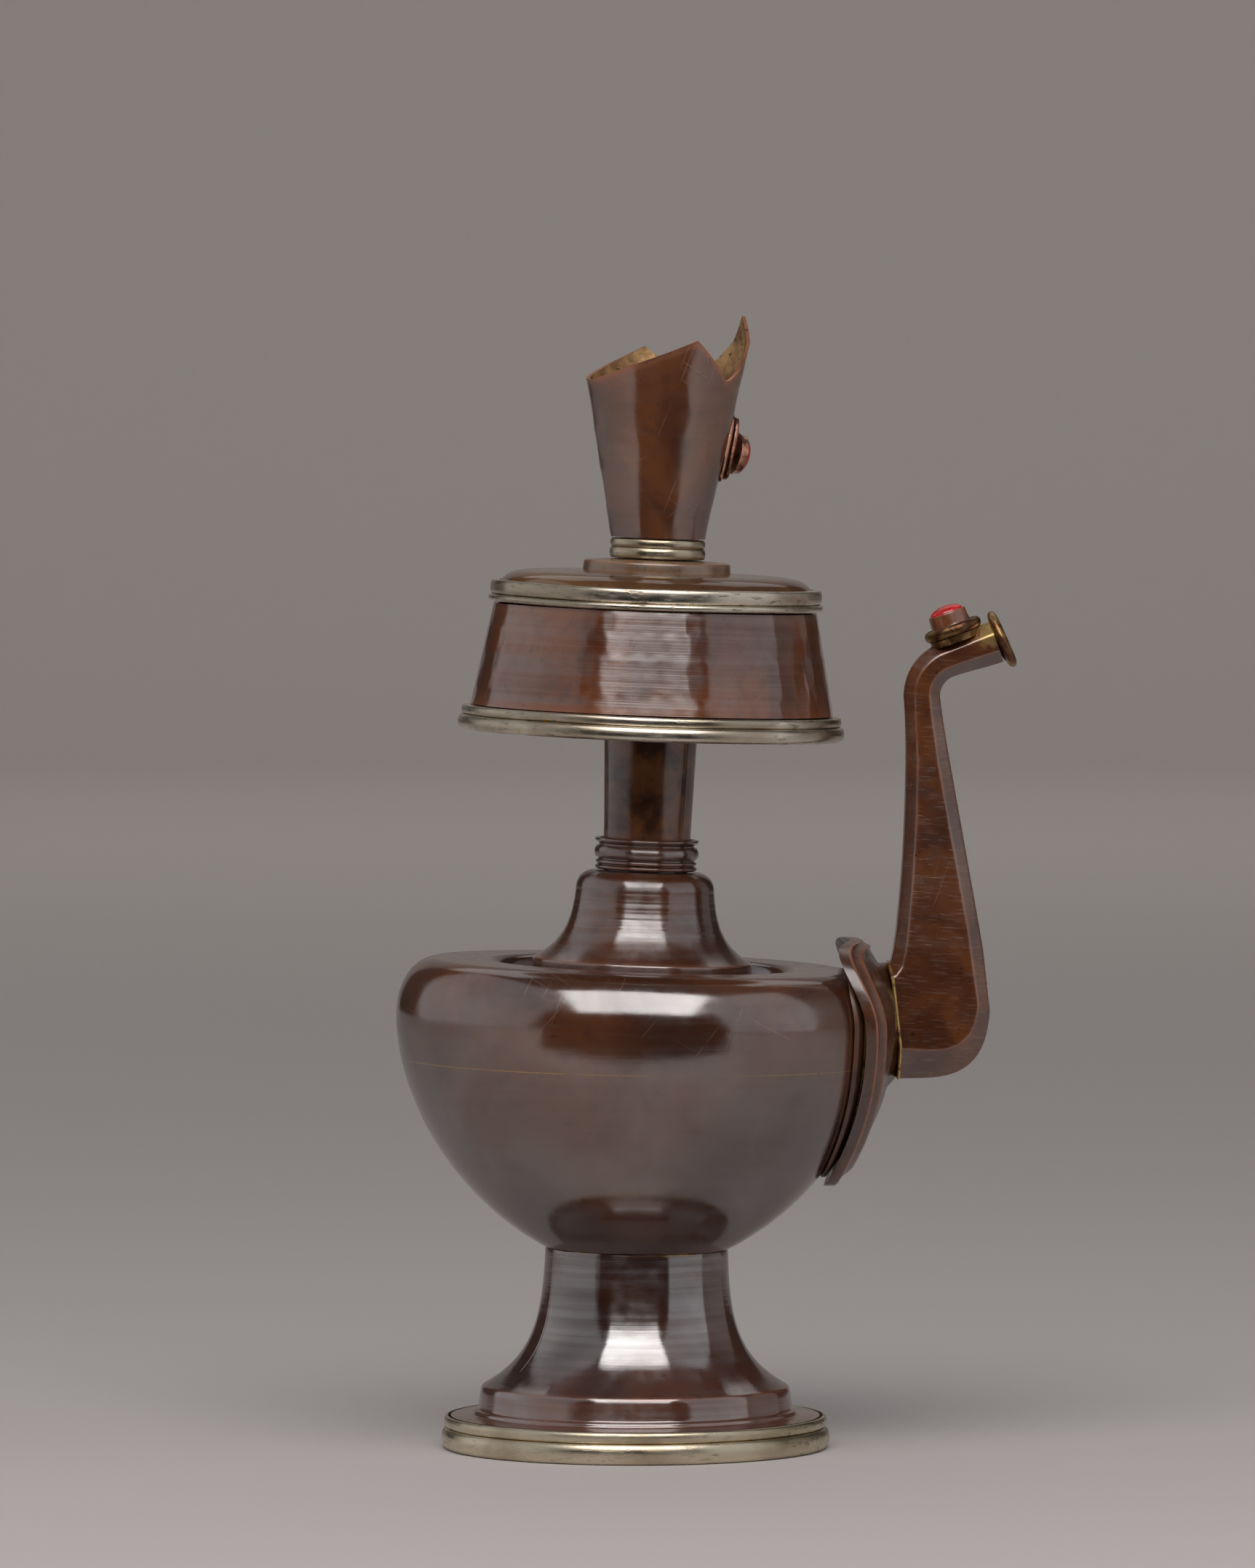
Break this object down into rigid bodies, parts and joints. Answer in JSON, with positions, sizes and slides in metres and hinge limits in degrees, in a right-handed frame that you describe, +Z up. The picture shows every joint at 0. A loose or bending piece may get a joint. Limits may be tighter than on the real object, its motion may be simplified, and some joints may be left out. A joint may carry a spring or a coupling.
{
  "type": "ritual offering vase",
  "caption": "Raised copper ritual vase: flared foot, wide bowl with a swan-neck spout, and a lift-out neck with a hollow drum canopy and a crown-cut filling funnel.",
  "frame": {"origin": "middle of the base, on the surface that the vase stands on", "axes": "+Z up, +X the way the spout points"},
  "size_m": [0.1426, 0.1124, 0.2602],
  "materials": {
    "copper": "dark reddish-brown patinated copper, burnished",
    "white_metal": "warm white metal, worn polish",
    "brass": "brazing brass, worn",
    "coral": "polished red cabochon"
  },
  "bodies": {
    "vessel": {"base_plate": "copper", "foot": "copper", "bowl": "copper", "shoulder": "copper", "neck_bell": "copper", "neck_collar": "copper", "spout_rear_flange": "copper", "spout_socket": "copper", "spout": "copper", "spout_stone_bezel": "copper", "base_ring": "white_metal", "belly_braze_seam": "brass", "spout_flange_braze": "brass", "spout_braze_ring": "brass", "spout_lip": "brass", "spout_stone_seat": "brass", "spout_stone": "coral"},
    "neck": {"neck_tube": "copper", "canopy_floor": "copper", "canopy_wall": "copper", "canopy_top": "copper", "funnel_washer": "copper", "funnel": "copper", "funnel_back_plate": "copper", "funnel_front_plate": "copper", "funnel_stone_bezel": "copper", "canopy_lower_rim": "white_metal", "canopy_upper_rim": "white_metal", "funnel_collar": "white_metal", "funnel_stone": "coral"}
  },
  "joints": [
    {"name": "neck_lift", "type": "slide", "parent": "vessel", "child": "neck", "axis": [0.0366, 0, 0.9993], "range_m": [0, 0.025]}
  ]
}
